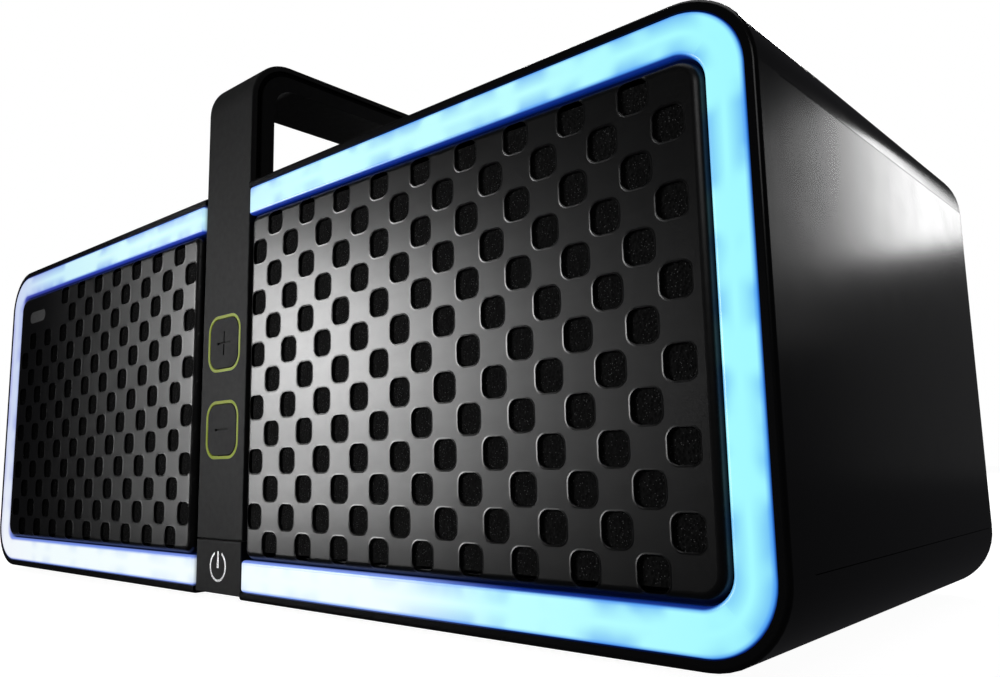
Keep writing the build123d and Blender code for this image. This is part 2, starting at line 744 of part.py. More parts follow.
with BuildPart() as power_button:
    power_mid = (shell_foot_z + power_top_z) / 2
    with BuildSketch(front_plane(handle_front - key_proud)):
        with Locations((0, power_mid)):
            Rectangle(power_width, power_top_z - shell_foot_z)
    extrude(amount=handle_front - key_proud - flange_back)
    fillet(power_button.faces().sort_by(Axis.Y)[0].edges(), 0.35)
    # lip that hooks behind the band
    with BuildSketch(front_plane(flange_front)):
        with Locations((0, power_top_z)):
            Rectangle(power_width - 4, 4)
    extrude(amount=flange_front - flange_back)
    with BuildSketch(front_plane(flange_back)):
        with Locations((0, 10)):
            Circle(2.5)
    extrude(amount=flange_back - plunger_front)
    extrude(power_mark(), amount=-symbol_depth, mode=Mode.SUBTRACT)

with BuildPart() as power_symbol:
    extrude(power_mark(), amount=-symbol_depth)


def switch_plunger(z):
    """Round plunger of one tact switch."""
    with BuildPart() as plunger:
        with BuildSketch(front_plane(plunger_front)):
            with Locations((0, z)):
                Circle(plunger_radius)
        extrude(amount=plunger_front - board_front + key_travel + 0.2)
    return plunger.part


with BuildPart() as plus_plunger:
    add(switch_plunger(plus_z))
with BuildPart() as minus_plunger:
    add(switch_plunger(minus_z))
with BuildPart() as power_plunger:
    add(switch_plunger(10))

with BuildPart() as tact_switches:
    with BuildSketch(front_plane(switch_front)):
        with Locations((0, plus_z), (0, minus_z), (0, 10)):
            Rectangle(switch_size, switch_size)
            Circle(plunger_bore, mode=Mode.SUBTRACT)
    extrude(amount=switch_front - board_front)

with BuildPart() as control_board:
    with BuildSketch(front_plane(board_front)):
        with Locations((0, 45.5)):
            RectangleRounded(20, 79, 1.5)
    extrude(amount=-1.6)

# ======== electronics ========
with BuildPart() as main_board:
    with BuildSketch(Plane.XY.offset(floor_z + 5)):
        with Locations((main_board_x, 28)):
            RectangleRounded(60, 58, 2)
            with Locations((0, 1)):
                with GridLocations(48, 46, 2, 2):
                    Circle(1.6, mode=Mode.SUBTRACT)
    extrude(amount=1.6)
    # heat sink, reservoir capacitors and coils
    with BuildSketch(Plane.XY.offset(floor_z + 6.6)):
        with Locations((main_board_x - 8, 20)):
            with GridLocations(3, 1, 6, 1):
                Rectangle(1.2, 22)
    extrude(amount=9)
    with BuildSketch(Plane.XY.offset(floor_z + 6.6)):
        with Locations((main_board_x - 8, 20)):
            Rectangle(18, 22)
    extrude(amount=2)
    with BuildSketch(Plane.XY.offset(floor_z + 6.6)):
        with Locations((main_board_x + 12, 12), (main_board_x + 12, 26)):
            Circle(5)
    extrude(amount=12)

board_top = floor_z + 6.6
jack_back = rear_plate_front - 0.2
with BuildPart() as dc_jack:
    with BuildSketch(front_plane(jack_back)):
        with Locations((main_board_x - 16, (board_top + jack_z + 5) / 2)):
            Rectangle(10, jack_z + 5 - board_top)
    extrude(amount=12)
    with BuildSketch(front_plane(jack_back)):
        with Locations((main_board_x - 16, jack_z)):
            Circle(4)
    extrude(amount=-2.2)
    with BuildSketch(front_plane(jack_back + 2.2)):
        with Locations((main_board_x - 16, jack_z)):
            Circle(2.8)
            Circle(1.0, mode=Mode.SUBTRACT)
    extrude(amount=9, mode=Mode.SUBTRACT)

with BuildPart() as aux_jack:
    with BuildSketch(front_plane(jack_back)):
        with Locations((main_board_x, (board_top + jack_z + 4) / 2)):
            Rectangle(8, jack_z + 4 - board_top)
    extrude(amount=12)
    with BuildSketch(front_plane(jack_back)):
        with Locations((main_board_x, jack_z)):
            Circle(3.3)
    extrude(amount=-2.2)
    with BuildSketch(front_plane(jack_back + 2.2)):
        with Locations((main_board_x, jack_z)):
            Circle(1.8)
    extrude(amount=11, mode=Mode.SUBTRACT)

with BuildPart() as usb_port:
    with BuildSketch(front_plane(jack_back + 2.0)):
        with Locations((main_board_x + 14, jack_z)):
            Rectangle(13.2, 5.6)
    extrude(amount=14)
    with BuildSketch(front_plane(jack_back + 2.0)):
        with Locations((main_board_x + 14, jack_z)):
            Rectangle(12.2, 4.6)
            with Locations((0, 0.9)):
                Rectangle(10.6, 1.6, mode=Mode.SUBTRACT)
    extrude(amount=10, mode=Mode.SUBTRACT)
    with BuildSketch(front_plane(jack_back - 2)):
        with Locations((main_board_x + 14, (board_top + jack_z - 2.8) / 2)):
            Rectangle(11, jack_z - 2.8 - board_top)
    extrude(amount=9)

with BuildPart() as battery_pack:
    with BuildSketch(Plane.XY.offset(floor_z)):
        with Locations((0, 18)):
            Rectangle(76, 38)
    extrude(amount=34)
    fillet(battery_pack.edges().filter_by(Axis.X), 5)

with BuildPart() as battery_bracket:
    with BuildSketch(Plane.XZ.offset(-18)):
        with BuildLine():
            Polyline((-55, floor_z + 5), (-55, floor_z + 6.2), (-39.7, floor_z + 6.2),
                     (-39.7, floor_z + 35.4), (39.7, floor_z + 35.4), (39.7, floor_z + 6.2),
                     (55, floor_z + 6.2), (55, floor_z + 5), (38.5, floor_z + 5),
                     (38.5, floor_z + 34.2), (-38.5, floor_z + 34.2), (-38.5, floor_z + 5),
                     close=True)
        make_face()
    extrude(amount=7)
    with BuildSketch(Plane.XY.offset(floor_z + 6.2)):
        with Locations((-49, 18), (49, 18)):
            Circle(1.6)
    extrude(amount=-2, mode=Mode.SUBTRACT)

with BuildPart() as board_screws:
    with BuildSketch(Plane.XY.offset(floor_z + 6.6)):
        with Locations((main_board_x, 29)):
            with GridLocations(48, 46, 2, 2):
                Circle(2.6)
    extrude(amount=1.6)
    with BuildSketch(Plane.XY.offset(floor_z + 6.6)):
        with Locations((main_board_x, 29)):
            with GridLocations(48, 46, 2, 2):
                Circle(1.25)
    extrude(amount=-5)

with BuildPart() as bracket_screws:
    with BuildSketch(Plane.XY.offset(floor_z + 6.2)):
        with Locations((-49, 18), (49, 18)):
            Circle(2.6)
    extrude(amount=1.6)
    with BuildSketch(Plane.XY.offset(floor_z + 6.2)):
        with Locations((-49, 18), (49, 18)):
            Circle(1.25)
    extrude(amount=-5)

# ======== feet and cabinet screws ========
with BuildPart() as rubber_feet:
    with BuildSketch(Plane.XY):
        with Locations(*[(sx * foot_x, sy * foot_y) for sx in (-1, 1) for sy in (-1, 1)]):
            Circle(9)
    extrude(amount=foot_height)
    fillet(rubber_feet.edges().filter_by(GeomType.CIRCLE).group_by(Axis.Z)[0], 0.6)
    with BuildSketch(Plane.XY.offset(foot_height)):
        with Locations(*[(sx * foot_x, sy * foot_y) for sx in (-1, 1) for sy in (-1, 1)]):
            Circle(3)
    extrude(amount=cover_wall)

front_spots = [(s * x, z) for x in boss_x for s in (-1, 1)
               for z in (front_screw_high, front_screw_low)]
with BuildPart() as front_screws:
    add(screw_set(front_spots, bezel_floor + 1.3, 2.8, 1.2, 1.5, 14.0, 1))

rear_spots = [(s * x, z) for x in boss_x for s in (-1, 1)
              for z in (rear_screw_high, rear_screw_low)]
with BuildPart() as rear_screws:
    add(screw_set(rear_spots, rear_plate_back, 2.8, 1.6, 1.5, 11.0, -1))

all_parts = {
    "top_cover": top_cover,
    "bottom_cover": bottom_cover,
    "end_panel_left": end_panel_left,
    "end_panel_right": end_panel_right,
    "front_bezel": front_bezel,
    "front_baffle": front_baffle,
    "rear_panel": rear_panel,
    "light_guide_left": light_guide_left,
    "light_guide_right": light_guide_right,
    "led_strip_left": led_strip_left,
    "led_strip_right": led_strip_right,
    "led_chips_left": led_chips_left,
    "led_chips_right": led_chips_right,
    "grille_left": grille_left,
    "grille_right": grille_right,
    "badge_plate": badge_plate,
    "foam_left": foam_left,
    "foam_right": foam_right,
    "basket_left": basket_left,
    "basket_right": basket_right,
    "motor_left": motor_left,
    "motor_right": motor_right,
    "cone_left": cone_left,
    "cone_right": cone_right,
    "dust_cap_left": dust_cap_left,
    "dust_cap_right": dust_cap_right,
    "voice_coil_left": voice_coil_left,
    "voice_coil_right": voice_coil_right,
    "surround_left": surround_left,
    "surround_right": surround_right,
    "spider_left": spider_left,
    "spider_right": spider_right,
    "driver_gaskets": driver_gaskets,
    "driver_screws": driver_screws,
    "handle_shell": handle_shell,
    "handle_frame": handle_frame,
    "handle_liner": handle_liner,
    "handle_screws": handle_screws,
    "outline_rings": outline_rings,
    "plus_button": plus_button,
    "minus_button": minus_button,
    "power_button": power_button,
    "power_symbol": power_symbol,
    "plus_plunger": plus_plunger,
    "minus_plunger": minus_plunger,
    "power_plunger": power_plunger,
    "tact_switches": tact_switches,
    "control_board": control_board,
    "main_board": main_board,
    "dc_jack": dc_jack,
    "aux_jack": aux_jack,
    "usb_port": usb_port,
    "battery_pack": battery_pack,
    "battery_bracket": battery_bracket,
    "board_screws": board_screws,
    "bracket_screws": bracket_screws,
    "rubber_feet": rubber_feet,
    "front_screws": front_screws,
    "rear_screws": rear_screws,
}
for part_name, builder in all_parts.items():
    builder.part.label = part_name
    export_step(builder.part, f"parts/{part_name}.step")
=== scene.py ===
import math
import bpy
from mathutils import Matrix, Vector


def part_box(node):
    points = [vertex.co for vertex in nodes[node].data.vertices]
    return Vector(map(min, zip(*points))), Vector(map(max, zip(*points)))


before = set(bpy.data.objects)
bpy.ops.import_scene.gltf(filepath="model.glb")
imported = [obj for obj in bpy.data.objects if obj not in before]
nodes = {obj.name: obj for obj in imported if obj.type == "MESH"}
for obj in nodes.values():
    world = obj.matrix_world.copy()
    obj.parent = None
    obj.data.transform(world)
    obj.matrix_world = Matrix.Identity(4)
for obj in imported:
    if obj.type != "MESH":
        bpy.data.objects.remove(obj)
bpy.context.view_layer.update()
print("frame loaded:", len(nodes), "nodes")


def linear(hexCode):
    values = [int(hexCode[i:i + 2], 16) / 255 for i in (0, 2, 4)]
    curved = [v / 12.92 if v <= 0.04045 else ((v + 0.055) / 1.055) ** 2.4 for v in values]
    return (*curved, 1.0)


def addNode(tree, kind, settings=None, links=None):
    node = tree.nodes.new(kind)
    for key, value in (settings or {}).items():
        if key == "ramp":
            elements = node.color_ramp.elements
            while len(elements) < len(value):
                elements.new(0.5)
            for element, (position, colour) in zip(elements, value):
                element.position = position
                element.color = colour
        elif isinstance(key, str) and hasattr(node, key):
            setattr(node, key, value)
        else:
            node.inputs[key].default_value = value
    for key, source in (links or {}).items():
        tree.links.new(source, node.inputs[key])
    return node


def newMaterial(name):
    material = bpy.data.materials.new(name)
    material.use_nodes = True
    tree = material.node_tree
    tree.nodes.clear()
    output = addNode(tree, "ShaderNodeOutputMaterial")
    coord = addNode(tree, "ShaderNodeTexCoord").outputs["Object"]
    return material, tree, coord, output


def perMetre(millimetres):
    return 1000.0 / millimetres


surfaceBase = {  # what every plain surface shares; a look may replace any of it
    "toneFrom": 0.35, "toneTo": 0.65, "toneDetail": 5.0, "toneHarsh": 0.6,
    "glossFrom": 0.3, "glossTo": 0.7, "glossDetail": 6.0, "waveDetail": 1.0,
    "grainDetail": 3.0, "grainHarsh": 0.55, "stretch": (1, 1, 1), "metallic": 0.0, "ior": 1.5,
    "specular": 0.5, "sheen": 0.0, "sheenRoughness": 0.5, "glow": "000000", "glowStrength": 0.0}


# A moulded, pressed, painted or woven surface: two close tones, an uneven gloss and a fine relief.
def makeSurface(name, ownLook):
    look = {**surfaceBase, **ownLook}
    material, tree, coord, output = newMaterial(name)
    stretched = addNode(tree, "ShaderNodeVectorMath", {"operation": "MULTIPLY", 1: look["stretch"]},
                        {0: coord}).outputs[0]
    toneNoise = addNode(tree, "ShaderNodeTexNoise", {"Scale": perMetre(look["toneScale"]),
                        "Detail": look["toneDetail"], "Roughness": look["toneHarsh"]},
                        {"Vector": stretched})
    toneShare = addNode(tree, "ShaderNodeMapRange", {"From Min": look["toneFrom"],
                        "From Max": look["toneTo"]}, {"Value": toneNoise.outputs["Fac"]})
    colour = addNode(tree, "ShaderNodeMix",
                     {"data_type": "RGBA", 6: linear(look["colour"]), 7: linear(look["tone"])},
                     {0: toneShare.outputs[0]})
    if "shadeBehindY" in look:  # painted shade: the cut marks and the cap sides further back go near black
        depth = addNode(tree, "ShaderNodeSeparateXYZ", {}, {0: coord})
        sunk = addNode(tree, "ShaderNodeMath", {"operation": "GREATER_THAN", 1: look["shadeBehindY"]},
                       {0: depth.outputs[1]})
        colour = addNode(tree, "ShaderNodeMix",
                         {"data_type": "RGBA", 7: linear(look["recessShade"])},
                         {0: sunk.outputs[0], 6: colour.outputs[2]})
    glossNoise = addNode(tree, "ShaderNodeTexNoise", {"Scale": perMetre(look["glossScale"]),
                         "Detail": look["glossDetail"]}, {"Vector": stretched})
    gloss = addNode(tree, "ShaderNodeMapRange", {
        "From Min": look["glossFrom"], "From Max": look["glossTo"],
        "To Min": look["roughness"] - look["glossSpread"],
        "To Max": look["roughness"] + look["glossSpread"]}, {"Value": glossNoise.outputs["Fac"]})
    waviness = addNode(tree, "ShaderNodeTexNoise", {"Scale": perMetre(look["waveScale"]),
                       "Detail": look["waveDetail"]}, {"Vector": coord})
    waveBump = addNode(tree, "ShaderNodeBump",
                       {"Strength": 1.0, "Distance": look["waveHeight"] / 1000},
                       {"Height": waviness.outputs["Fac"]})
    grain = addNode(tree, "ShaderNodeTexNoise", {"Scale": perMetre(look["grainScale"]),
                    "Detail": look["grainDetail"], "Roughness": look["grainHarsh"]},
                    {"Vector": stretched})
    grainBump = addNode(tree, "ShaderNodeBump",
                        {"Strength": 1.0, "Distance": look["grainHeight"] / 1000},
                        {"Height": grain.outputs["Fac"], "Normal": waveBump.outputs[0]})
    shader = addNode(tree, "ShaderNodeBsdfPrincipled", {
        "Metallic": look["metallic"], "IOR": look["ior"], "Specular IOR Level": look["specular"],
        "Sheen Weight": look["sheen"], "Sheen Roughness": look["sheenRoughness"],
        "Emission Color": linear(look["glow"]), "Emission Strength": look["glowStrength"]},
        {"Base Color": colour.outputs[2], "Roughness": gloss.outputs[0],
         "Normal": grainBump.outputs[0]})
    tree.links.new(shader.outputs[0], output.inputs[0])
    return material


# Metres, from the frame: the ring fixes where the lit band and the hole field lie.
guideLow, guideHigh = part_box("light_guide_right")
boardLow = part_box("main_board")[0]
midZ = (guideLow.z + guideHigh.z) / 2
print("frame measured")

# Lengths in the surface looks below are millimetres.

glossLook = {  # deep black with a slightly soft polish, so big lights blur at their edges
    "colour": "070708", "tone": "09090A", "toneScale": 60.0,
    "roughness": 0.2, "glossSpread": 0.01, "glossScale": 8.0,
    "waveScale": 45.0, "waveHeight": 0.004, "grainScale": 0.9, "grainHeight": 0.0006,
    "ior": 1.5}
bandLook = {  # charcoal with fine spark-eroded grain that kills reflections
    "colour": "1F1F20", "tone": "222222", "toneScale": 18.0,
    "roughness": 0.7, "glossSpread": 0.05, "glossScale": 2.0,
    "waveScale": 30.0, "waveHeight": 0.01, "grainScale": 0.28, "grainHeight": 0.012,
    "ior": 1.5, "specular": 0.3}
linerLook = dict(bandLook, colour="121213", tone="161617", roughness=0.45)  # smoother, reads darker
# keys a touch paler than the band; past the depth given in metres, the cut marks and the cap sides get
# painted shade in near black
keyLook = dict(bandLook, colour="202021", tone="232323", roughness=0.72, shadeBehindY=-0.0659,
               recessShade="070707")
innerLook = {  # unpolished black inside faces
    "colour": "121213", "tone": "171718", "toneScale": 25.0,
    "roughness": 0.55, "glossSpread": 0.06, "glossScale": 4.0,
    "waveScale": 40.0, "waveHeight": 0.03, "grainScale": 0.5, "grainHeight": 0.02}
outlineLook = {  # lime inlay that catches light along its edge, with a painted glow that keeps it bright
    "colour": "8A9C00", "tone": "98AA08", "toneScale": 6.0,
    "roughness": 0.35, "glossSpread": 0.04, "glossScale": 1.5,
    "waveScale": 8.0, "waveHeight": 0.004, "grainScale": 0.3, "grainHeight": 0.002,
    "ior": 1.49, "glow": "A8B400", "glowStrength": 0.16, "specular": 0.1}
jackLook = dict(innerLook, colour="0E0E0F", tone="131314", roughness=0.4)  # nylon, faintly shiny
rubberLook = {  # moulded feet and gaskets with a dusty bloom
    "colour": "141414", "tone": "1E1D1C", "toneScale": 5.0,
    "roughness": 0.78, "glossSpread": 0.08, "glossScale": 1.5,
    "waveScale": 6.0, "waveHeight": 0.03, "grainScale": 0.35, "grainHeight": 0.03, "sheen": 0.15}
surroundLook = dict(rubberLook, colour="101010", tone="161616", roughness=0.5)  # clean half roll
coneLook = {  # pressed pulp: fibres show as soft mottling
    "colour": "1B1B1C", "tone": "29282A", "toneScale": 1.6,
    "roughness": 0.68, "glossSpread": 0.08, "glossScale": 1.2,
    "waveScale": 10.0, "waveHeight": 0.05, "grainScale": 0.45, "grainHeight": 0.05}
spiderLook = {  # resin-dipped cloth
    "colour": "A8742C", "tone": "8A5A1C", "toneScale": 1.2,
    "roughness": 0.7, "glossSpread": 0.08, "glossScale": 1.0,
    "waveScale": 8.0, "waveHeight": 0.04, "grainScale": 0.5, "grainHeight": 0.08}
ledLook = {  # phosphor under clear resin
    "colour": "F1E9B8", "tone": "E8DC92", "toneScale": 1.5,
    "roughness": 0.3, "glossSpread": 0.05, "glossScale": 1.0,
    "waveScale": 3.0, "waveHeight": 0.01, "grainScale": 0.4, "grainHeight": 0.004,
    "glow": "BFF6FF", "glowStrength": 1.2}
batteryLook = {  # shrunk sleeve, wrinkled where it hugs the cells
    "colour": "12305E", "tone": "173A70", "toneScale": 12.0,
    "roughness": 0.32, "glossSpread": 0.06, "glossScale": 5.0,
    "waveScale": 7.0, "waveHeight": 0.25, "grainScale": 1.0, "grainHeight": 0.01}

basketLook = {  # powder coat: orange-peel skin over steel
    "colour": "1C1C1E", "tone": "222224", "toneScale": 9.0,
    "roughness": 0.45, "glossSpread": 0.05, "glossScale": 2.0,
    "waveScale": 12.0, "waveHeight": 0.02, "grainScale": 0.5, "grainHeight": 0.035}
motorLook = {  # zinc plate with milky patches
    "colour": "B9BAB8", "tone": "A6A8AC", "toneScale": 7.0, "metallic": 1.0,
    "roughness": 0.36, "glossSpread": 0.08, "glossScale": 3.0,
    "waveScale": 15.0, "waveHeight": 0.02, "grainScale": 0.4, "grainHeight": 0.008}
frameLook = {  # black anodised strip in the handle groove
    "colour": "101011", "tone": "151516", "toneScale": 4.0, "metallic": 1.0, "stretch": (1, 1, 0.1),
    "roughness": 0.4, "glossSpread": 0.06, "glossScale": 0.6,
    "waveScale": 20.0, "waveHeight": 0.01, "grainScale": 0.25, "grainHeight": 0.006}
silverLook = {  # bright inlay, brushed short, with a painted glow that keeps it bright
    "colour": "D9DADB", "tone": "C9CACC", "toneScale": 2.0, "metallic": 1.0, "stretch": (1, 1, 6),
    "roughness": 0.27, "glossSpread": 0.05, "glossScale": 0.5,
    "waveScale": 5.0, "waveHeight": 0.004, "grainScale": 0.25, "grainHeight": 0.003,
    "glow": "E8E8E8", "glowStrength": 0.35}
badgeLook = dict(silverLook, colour="9A9A9A", tone="8C8C8C", roughness=0.45,  # duller than the inlay, with a fainter painted glow
                 glowStrength=0.03)
screwLook = {  # black oxide with worn high spots
    "colour": "1B1B1C", "tone": "3A3937", "toneScale": 1.2, "metallic": 1.0,
    "roughness": 0.38, "glossSpread": 0.1, "glossScale": 0.8,
    "waveScale": 4.0, "waveHeight": 0.01, "grainScale": 0.3, "grainHeight": 0.01}
platedLook = {  # nickel on stamped steel
    "colour": "C9C7C2", "tone": "B9B7B2", "toneScale": 3.0, "metallic": 1.0,
    "roughness": 0.22, "glossSpread": 0.06, "glossScale": 1.5,
    "waveScale": 6.0, "waveHeight": 0.01, "grainScale": 0.3, "grainHeight": 0.003}
bracketLook = {  # mill-finish sheet with rolling lines
    "colour": "C4C6C8", "tone": "B2B4B7", "toneScale": 5.0, "metallic": 1.0, "stretch": (0.1, 1, 1),
    "roughness": 0.33, "glossSpread": 0.08, "glossScale": 1.0,
    "waveScale": 20.0, "waveHeight": 0.02, "grainScale": 0.3, "grainHeight": 0.006}
coilLook = {  # wound enamelled wire: fine turns along the axis
    "colour": "A4552A", "tone": "8C431C", "toneScale": 0.8, "metallic": 1.0,
    "stretch": (0.2, 3, 0.2),
    "roughness": 0.3, "glossSpread": 0.08, "glossScale": 0.5,
    "waveScale": 5.0, "waveHeight": 0.01, "grainScale": 0.4, "grainHeight": 0.03}

glossAbs = makeSurface("moulded_gloss_abs", glossLook)
bandAbs = makeSurface("moulded_matte_abs", bandLook)
linerAbs = makeSurface("moulded_liner_abs", linerLook)
keyAbs = makeSurface("moulded_key_abs", keyLook)
innerAbs = makeSurface("moulded_inner_abs", innerLook)
limeInlay = makeSurface("moulded_lime_acrylic_painted_glow", outlineLook)
jackNylon = makeSurface("moulded_nylon", jackLook)
footRubber = makeSurface("moulded_rubber", rubberLook)
surroundRubber = makeSurface("pressed_rubber", surroundLook)
conePulp = makeSurface("pressed_pulp", coneLook)
spiderCloth = makeSurface("resin_cloth", spiderLook)
ledResin = makeSurface("led_resin", ledLook)
batterySleeve = makeSurface("shrunk_sleeve", batteryLook)
powderSteel = makeSurface("powder_coated_steel", basketLook)
zincSteel = makeSurface("zinc_plated_steel", motorLook)
blackAnodised = makeSurface("black_anodised_aluminium", frameLook)
brightInlay = makeSurface("brushed_aluminium_painted_glow", silverLook)
badgeMetal = makeSurface("brushed_grey_aluminium_painted_glow", badgeLook)
blackOxide = makeSurface("black_oxide_steel", screwLook)
nickelPlate = makeSurface("nickel_plated_steel", platedLook)
millAluminium = makeSurface("mill_finish_aluminium", bracketLook)
woundCopper = makeSurface("wound_copper", coilLook)


# Dark lacquer over brushed steel. Each hole has a raised, pressed collar that throws a thin bright arc.
grilleLook = {
    # the hole field, metres: half a pitch, the first column, a hole's half width and corner radius
    "step": 0.0074, "firstColumn": 0.0192, "holeHalf": 0.00325, "holeCorner": 0.002,
    "fieldX": 0.1559, "fieldZ": 0.0480, "blankX": -0.119, "blankZ": 0.0957,
    "collarNear": 0.00012, "collarFar": 0.00052, "collarHeight": 0.00005,
    "colour": "464646", "tone": "3F3F3F", "roughness": 0.31, "glossSpread": 0.03,
    "glossFrom": 0.3, "glossTo": 0.7, "anisotropic": 0.2,
    # the brushing, millimetres
    "brushFine": 0.24, "brushDetail": 3.0, "brushHeight": 0.007, "brushStretch": (0.35, 1, 1),
    "streak": 2.5, "streakDetail": 4.0}


def makeGrille(look):
    material, tree, coord, output = newMaterial("brushed_lacquered_steel")
    split = addNode(tree, "ShaderNodeSeparateXYZ", {}, {0: coord})
    across = addNode(tree, "ShaderNodeMath", {"operation": "ABSOLUTE"}, {0: split.outputs[0]})
    columnX = addNode(tree, "ShaderNodeMath", {"operation": "SUBTRACT", 1: look["firstColumn"]},
                      {0: across.outputs[0]})
    rowZ = addNode(tree, "ShaderNodeMath", {"operation": "SUBTRACT", 1: midZ},
                   {0: split.outputs[2]})
    foldX = addNode(tree, "ShaderNodeMath", {"operation": "PINGPONG", 1: look["step"]},
                    {0: columnX.outputs[0]})
    foldZ = addNode(tree, "ShaderNodeMath", {"operation": "PINGPONG", 1: look["step"]},
                    {0: rowZ.outputs[0]})
    otherX = addNode(tree, "ShaderNodeMath", {"operation": "SUBTRACT", 0: look["step"]},
                     {1: foldX.outputs[0]})
    otherZ = addNode(tree, "ShaderNodeMath", {"operation": "SUBTRACT", 0: look["step"]},
                     {1: foldZ.outputs[0]})
    # distance to the nearer of the two staggered sets of rounded square holes
    distances = []
    inset = look["holeHalf"] - look["holeCorner"]
    for sideX, sideZ in ((foldX, otherZ), (otherX, foldZ)):
        corner = addNode(tree, "ShaderNodeCombineXYZ", {},
                         {0: sideX.outputs[0], 1: sideZ.outputs[0]})
        shifted = addNode(tree, "ShaderNodeVectorMath",
                          {"operation": "SUBTRACT", 1: (inset, inset, 0)},
                          {0: corner.outputs[0]})
        outside = addNode(tree, "ShaderNodeVectorMath", {"operation": "MAXIMUM", 1: (0, 0, 0)},
                          {0: shifted.outputs[0]})
        reach = addNode(tree, "ShaderNodeVectorMath", {"operation": "LENGTH"},
                        {0: outside.outputs[0]})
        distances.append(addNode(tree, "ShaderNodeMath",
                                 {"operation": "SUBTRACT", 1: look["holeCorner"]},
                                 {0: reach.outputs["Value"]}))
    fromHole = addNode(tree, "ShaderNodeMath", {"operation": "MINIMUM"},
                       {0: distances[0].outputs[0], 1: distances[1].outputs[0]})
    collar = addNode(tree, "ShaderNodeMapRange",
                     {"interpolation_type": "SMOOTHSTEP", "From Min": look["collarNear"],
                     "From Max": look["collarFar"], "To Min": 1.0, "To Max": 0.0},
                     {"Value": fromHole.outputs[0]})
    # no collars outside the hole field, nor on the blank corner behind the badge
    inX = addNode(tree, "ShaderNodeMath", {"operation": "LESS_THAN", 1: look["fieldX"]},
                  {0: across.outputs[0]})
    absZ = addNode(tree, "ShaderNodeMath", {"operation": "ABSOLUTE"}, {0: rowZ.outputs[0]})
    inZ = addNode(tree, "ShaderNodeMath", {"operation": "LESS_THAN", 1: look["fieldZ"]},
                  {0: absZ.outputs[0]})
    inField = addNode(tree, "ShaderNodeMath", {"operation": "MULTIPLY"},
                      {0: inX.outputs[0], 1: inZ.outputs[0]})
    leftOf = addNode(tree, "ShaderNodeMath", {"operation": "LESS_THAN", 1: look["blankX"]},
                     {0: split.outputs[0]})
    above = addNode(tree, "ShaderNodeMath", {"operation": "GREATER_THAN", 1: look["blankZ"]},
                    {0: split.outputs[2]})
    blank = addNode(tree, "ShaderNodeMath", {"operation": "MULTIPLY"},
                    {0: leftOf.outputs[0], 1: above.outputs[0]})
    shown = addNode(tree, "ShaderNodeMath", {"operation": "SUBTRACT", "use_clamp": True},
                    {0: inField.outputs[0], 1: blank.outputs[0]})
    raised = addNode(tree, "ShaderNodeMath", {"operation": "MULTIPLY"},
                     {0: collar.outputs[0], 1: shown.outputs[0]})
    lines = addNode(tree, "ShaderNodeVectorMath",
                    {"operation": "MULTIPLY", 1: look["brushStretch"]}, {0: coord})
    brush = addNode(tree, "ShaderNodeTexNoise", {"Scale": perMetre(look["brushFine"]),
                    "Detail": look["brushDetail"]}, {"Vector": lines.outputs[0]})
    streaks = addNode(tree, "ShaderNodeTexNoise", {"Scale": perMetre(look["streak"]),
                      "Detail": look["streakDetail"]}, {"Vector": lines.outputs[0]})
    colour = addNode(tree, "ShaderNodeMix",
                     {"data_type": "RGBA", 6: linear(look["colour"]), 7: linear(look["tone"])},
                     {0: streaks.outputs["Fac"]})
    gloss = addNode(tree, "ShaderNodeMapRange", {
        "From Min": look["glossFrom"], "From Max": look["glossTo"],
        "To Min": look["roughness"] - look["glossSpread"],
        "To Max": look["roughness"] + look["glossSpread"]}, {"Value": brush.outputs["Fac"]})
    brushBump = addNode(tree, "ShaderNodeBump",
                        {"Strength": 1.0, "Distance": look["brushHeight"] / 1000},
                        {"Height": brush.outputs["Fac"]})
    collarBump = addNode(tree, "ShaderNodeBump",
                         {"Strength": 1.0, "Distance": look["collarHeight"]},
                         {"Height": raised.outputs[0], "Normal": brushBump.outputs[0]})
    along = addNode(tree, "ShaderNodeCombineXYZ", {0: 1.0})
    shader = addNode(tree, "ShaderNodeBsdfPrincipled",
                     {"Metallic": 1.0, "Anisotropic": look["anisotropic"]},
                     {"Base Color": colour.outputs[2], "Roughness": gloss.outputs[0],
                      "Normal": collarBump.outputs[0], "Tangent": along.outputs[0]})
    tree.links.new(shader.outputs[0], output.inputs[0])
    return material


grilleSteel = makeGrille(grilleLook)

# Open cells: pits between thin dull struts, the pits darkened with painted shade, seen through the
# holes as a grainy dark field.
foamLook = {  # millimetres
    "cell": 0.62, "fuzz": 1.4, "fuzzDetail": 5.0, "depth": 0.35, "grit": 0.55,
    "pitShade": "030303", "pitShadeAt": 0.08, "strut": "141414", "strutAt": 0.42,
    "speck": "6C6C6C", "speckFrom": 0.2, "speckTo": 0.08, "roughness": 0.95, "specular": 0.15}


